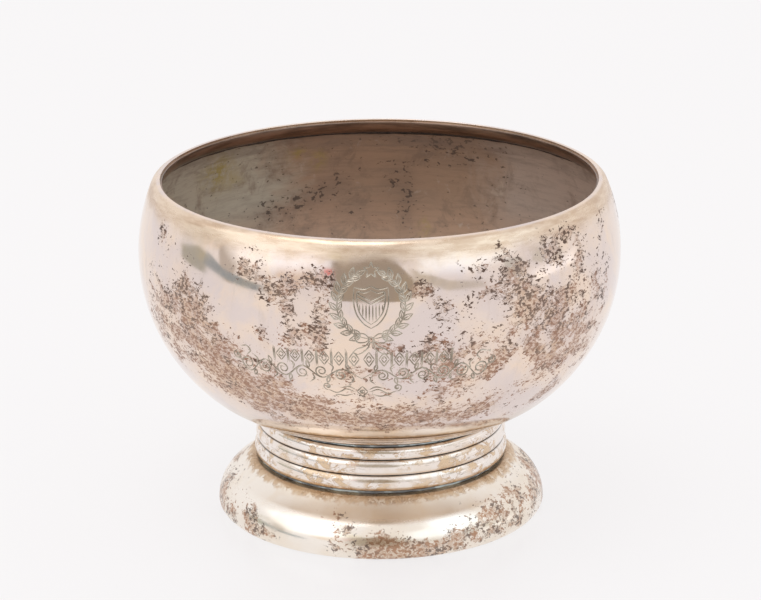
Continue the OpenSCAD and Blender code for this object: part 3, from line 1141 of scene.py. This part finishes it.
def collar_silver():
    """The reeds: golden stains with dark edges, streaks of grime, and painted shade, near black, along the
    grooves.
    """
    shade = Shading("collar_silver")
    silver = warm_silver(shade, (0.90, 0.83, 0.775), (0.87, 0.77, 0.68))
    blot = shade.noise(4.0, 6.0, 0.74, 0.5, shade.stretched((0.7, 0.7, 1.2)))
    patch = shade.noise(9.0, 2.0).ramp(0.38, 0.54)
    golden = blot.ramp(0.50, 0.54) * patch
    silver = shade.mix(golden * 0.62, silver, (0.66, 0.43, 0.20))
    edge = blot.gap(0.52).ramp(0.024, 0.004) * patch
    silver = shade.mix(edge * 0.55, silver, (0.34, 0.19, 0.09))
    grime = shade.noise(2.4, 5.0, 0.72, 0.0, shade.stretched((0.25, 0.25, 1.5)))
    silver = shade.mix(grime.ramp(0.58, 0.70, 0.0, 0.65), silver, (0.36, 0.29, 0.24))
    # Painted shade: near black along each reed's top and bottom edges, in the grooves between the reeds.
    silver = shade.mix(shade.field("groove"), silver, (0.06, 0.06, 0.062))
    gloss = shade.noise(6.0, 4.0, 0.65).ramp(0.35, 0.7, 0.10, 0.22) + golden * 0.1
    return shade.finish(silver, gloss, polish_bump(shade))


def foot_silver():
    shade = Shading("foot_silver")
    silver = warm_silver(shade, (0.93, 0.865, 0.785), (0.90, 0.81, 0.70))
    density = shade.field("tarnish")
    height = shade.axis("Z")
    # Below the groove under the reeds: golden colour, partly a stain and partly painted reflection of the
    # bowl's underside, and brown strands that creep down from the groove.
    ragged = shade.noise(2.4, 6.0, 0.74, 0.3)
    near_groove = height.ramp(12.5, 17.2) + (ragged - 0.5) * 1.7
    golden = near_groove.ramp(0.55, 1.0)
    silver = shade.mix(golden * 0.75, silver, (0.62, 0.42, 0.23))
    blot = shade.noise(4.5, 4.0, 0.65, 0.8).ramp(0.42, 0.56)
    strand = ragged.gap(0.5).ramp(0.04, 0.01) * blot * near_groove.ramp(0.55, 0.8)
    silver = shade.mix(strand * 0.7, silver, (0.36, 0.20, 0.10))
    # The tarnish.
    film, specks = tarnish_layers(shade, density, 1.15)
    silver = shade.mix(density.ramp(0.12, 0.8, 0.0, 0.35), silver, (0.74, 0.62, 0.48))
    silver = shade.mix(film * 0.8, silver, (0.54, 0.36, 0.25))
    darkest = shade.mix(shade.noise(5.0, 2.0).ramp(0.40, 0.58), (0.15, 0.11, 0.095), (0.42, 0.23, 0.14))
    silver = shade.mix(specks * 0.8, silver, darkest)
    # Duller above the dome.
    gloss = shade.noise(9.0, 4.0, 0.65).ramp(0.35, 0.7, 0.13, 0.22) + height.ramp(9.5, 13.0, 0.0, 0.18)
    gloss = gloss + golden * 0.1 + film * 0.12
    return shade.finish(silver, gloss, shade.bump(specks, 0.005, polish_bump(shade)))


def solder_metal():
    """Dark seams with a pale, bluish crust of old polish lying along them."""
    shade = Shading("silver_solder")
    crust = shade.noise(4.0, 5.0, 0.68, 0.2, shade.stretched((0.35, 0.35, 1.4)))
    base = shade.mix(crust.ramp(0.36, 0.5), (0.10, 0.108, 0.115), (0.28, 0.295, 0.30))
    base = shade.mix(crust.ramp(0.50, 0.57), base, (0.66, 0.74, 0.74))
    lumps = shade.bump(shade.noise(0.5, 3.0), 0.06)
    return shade.finish(base, crust.ramp(0.3, 0.6, 0.3, 0.7), lumps, metallic=0.5)


def seam_metal():
    """The seam inside the rim: black with age."""
    shade = Shading("rim_seam")
    age = shade.noise(2.4, 4.0, 0.65)
    base = shade.mix(age.ramp(0.35, 0.65), (0.03, 0.025, 0.023), (0.11, 0.085, 0.07))
    lumps = shade.bump(shade.noise(0.5, 3.0), 0.05)
    return shade.finish(base, age.ramp(0.3, 0.7, 0.4, 0.7), lumps, metallic=0.4)


def dress(pieces):
    """Gives each piece its materials; the bowl has one each for outside, inside and cuts."""
    bowl = pieces["bowl"].data.materials
    for material in (bowl_silver(), inside_patina(), cut_silver()):
        bowl.append(material)
    groups = (
        (rim_silver(), ("rim_wire",)),
        (collar_silver(), REEDS),
        (foot_silver(), ("foot", "foot_wire")),
        (solder_metal(), ("neck_solder", "collar_solder", "foot_wire_solder")),
        (seam_metal(), ("rim_solder",)),
    )
    for material, nodes in groups:
        for node in nodes:
            pieces[node].data.materials.append(material)


dress(pieces)

# ---------------------------------------------------------------- stage: floor, light and camera

ROOM_WHITE = (0.951, 0.936, 0.942)
CARD_DISTANCE = 1.15
CARD_HEIGHT = 0.08
FLOOR_HALF = 5.0


# Cards that only mirrors see: name, colour, strength, the part of it that fades out towards its edge,
# and corners as azimuth and elevation seen from the bowl.
CARDS = (
    ("softbox_left", (0.97, 0.985, 1.0), 1.42, 0.3,
     ((-106, 28), (-70, 4), (-34, 8), (-22, 14), (-24, 30), (-40, 54), (-80, 62))),
    ("softbox_right", (0.88, 0.945, 1.0), 1.42, 0.25,
     ((16, 10), (40, 7), (62, 10), (92, 22), (98, 60), (70, 70), (44, 58), (34, 38), (16, 30))),
    ("bright_wall", (0.97, 0.98, 1.0), 1.3, 0.4, ((70, 2), (104, 2), (104, -18), (70, -16))),
    ("operator", (0.43, 0.375, 0.30), 1.0, 0.07,
     ((-23, 19), (-22, -2), (-15, -8), (9, -8), (16, -1), (16, 8), (12, 14), (7, 21), (3, 25), (-5, 25),
      (-7, 22))),
    ("operator_arm", (0.66, 0.62, 0.55), 1.0, 0.2, ((12, 16), (31, 6), (49, 3), (49, -1), (30, 0), (14, 8))),
    ("red_label", (0.85, 0.25, 0.22), 1.0, 0.12, ((-26, 14), (-21, 14), (-21, 10), (-26, 10))),
    ("yellow_label", (0.98, 0.93, 0.70), 1.0, 0.12,
     ((-27, 24), (-22, 26), (-16, 25), (-16, 21), (-26, 19))),
    ("lamp_head", (0.50, 0.50, 0.44), 1.0, 0.25,
     ((-106, 2), (-92, 7), (-83, 5), (-85, -5), (-96, -4), (-104, -3))),
    ("lamp_hood", (0.82, 0.80, 0.76), 1.0, 0.12, ((-105, 12), (-85, 19), (-81, 13), (-103, 4))),
    ("stand", (0.58, 0.54, 0.50), 1.0, 0.2,
     ((-82, 13), (-78, 17), (-69, 19), (-67, 8), (-70, -7), (-76, -4))),
    ("boom", (0.36, 0.41, 0.44), 1.0, 0.3, ((-88, 7), (-76, 2), (-50, -1), (-50, -6), (-76, -3), (-90, 0))),
    ("warm_board", (0.88, 0.74, 0.60), 1.0, 0.3,
     ((-48, 14), (-38, 17), (-30, 15), (-29, 5), (-37, 2), (-49, 5))),
    ("shelf_a", (0.66, 0.67, 0.64), 1.0, 0.12, ((59, 12), (69, 9), (67, 0), (57, 3))),
    ("shelf_b", (0.74, 0.72, 0.64), 1.0, 0.12, ((76, 12), (82, 9), (80, 2), (73, 5))),
    ("shelf_c", (0.72, 0.71, 0.66), 1.0, 0.12, ((89, 6), (93, 5), (91, -3), (86, -2))),
    ("shelf_edge", (0.50, 0.52, 0.52), 1.0, 0.12, ((47, -7), (67, -8), (67, -11), (47, -11))),
)
CAMERA_DISTANCE = 1.0049
CAMERA_ELEVATION = 18.07
CAMERA_ROLL = -0.32
CAMERA_AIM = Vector((0.00016, 0.0, 0.06712))
CAMERA_LENS = 151.73


def stand_in_room(name, data):
    """Adds an object that isn't part of the bowl."""
    thing = bpy.data.objects.new(name, data)
    bpy.context.scene.collection.objects.link(thing)
    return thing


def lay_floor():
    """A wide pale sheet that lights itself, so that only a faint shadow and reflection show on it."""
    half = FLOOR_HALF
    corners = [(-half, -half, 0), (half, -half, 0), (half, half, 0), (-half, half, 0)]
    mesh = bpy.data.meshes.new("floor")
    mesh.from_pydata(corners, [], [(0, 1, 2, 3)])
    shade = Shading("floor_paper")
    glowing = shade.add("ShaderNodeEmission", {"Color": ROOM_WHITE})
    matt = shade.add("ShaderNodeBsdfDiffuse", {"Color": (0.93, 0.915, 0.91)})
    gloss = shade.add("ShaderNodeBsdfGlossy", {"Roughness": 0.22})
    lit = shade.add("ShaderNodeMixShader", {0: 0.16, 1: glowing, 2: matt})
    mesh.materials.append(shade.show(shade.add("ShaderNodeMixShader", {0: 0.05, 1: lit, 2: gloss})))
    stand_in_room("floor", mesh)


def hang_card(name, colour, strength, soft, corners):
    places = []
    for azimuth, elevation in corners:
        a = radians(azimuth)
        e = radians(elevation)
        way = Vector((sin(a) * cos(e), -cos(a) * cos(e), sin(e)))
        places.append(way * CARD_DISTANCE + Vector((0, 0, CARD_HEIGHT)))
    count = len(places)
    middle = sum(places, Vector()) / count
    inner = [place.lerp(middle, soft) for place in places]
    faces = [tuple(range(count, 2 * count))]
    for k in range(count):
        h = (k + 1) % count
        faces.append((k, h, count + h, count + k))
    mesh = bpy.data.meshes.new(name)
    mesh.from_pydata(places + inner, [], faces)
    write_field(mesh, "cover", [0.0] * count + [1.0] * count)
    shade = Shading(name + "_paint")
    clear = shade.add("ShaderNodeBsdfTransparent")
    light = shade.add("ShaderNodeEmission", {"Color": colour, "Strength": strength})
    blend = shade.add("ShaderNodeMixShader", {0: shade.field("cover"), 1: clear, 2: light})
    mesh.materials.append(shade.show(blend))
    card = stand_in_room(name, mesh)
    card.visible_camera = False
    card.visible_diffuse = False
    card.visible_shadow = False


def light_room():
    """An even white room, the cards and a soft lamp overhead."""
    world = bpy.data.worlds.new("studio")
    bpy.context.scene.world = world
    world.use_nodes = True
    world.node_tree.nodes["Background"].inputs["Color"].default_value = (*ROOM_WHITE, 1.0)
    for card in CARDS:
        hang_card(*card)
    lamp = bpy.data.lights.new("overhead", "AREA")
    lamp.shape = "DISK"
    lamp.size = 0.9
    lamp.energy = 3.0
    overhead = stand_in_room("overhead", lamp)
    overhead.location = (-0.3, -0.2, 1.3)
    overhead.rotation_euler = Vector((0.3, 0.2, -1.3)).to_track_quat("-Z", "Y").to_euler()


def place_camera():
    camera = bpy.data.cameras.new("camera")
    camera.lens = CAMERA_LENS
    camera.sensor_width = 36.0
    camera.clip_end = 12.0
    holder = stand_in_room("camera", camera)
    e = radians(CAMERA_ELEVATION)
    back = Vector((0, -cos(e), sin(e)))
    roll = Quaternion((0, 0, 1), radians(CAMERA_ROLL))
    holder.rotation_mode = "QUATERNION"
    holder.rotation_quaternion = back.to_track_quat("Z", "Y") @ roll
    holder.location = CAMERA_AIM + CAMERA_DISTANCE * back
    bpy.context.scene.camera = holder


lay_floor()
light_room()
place_camera()
bpy.context.scene.view_settings.view_transform = "Standard"
bpy.context.scene.cycles.use_denoising = True
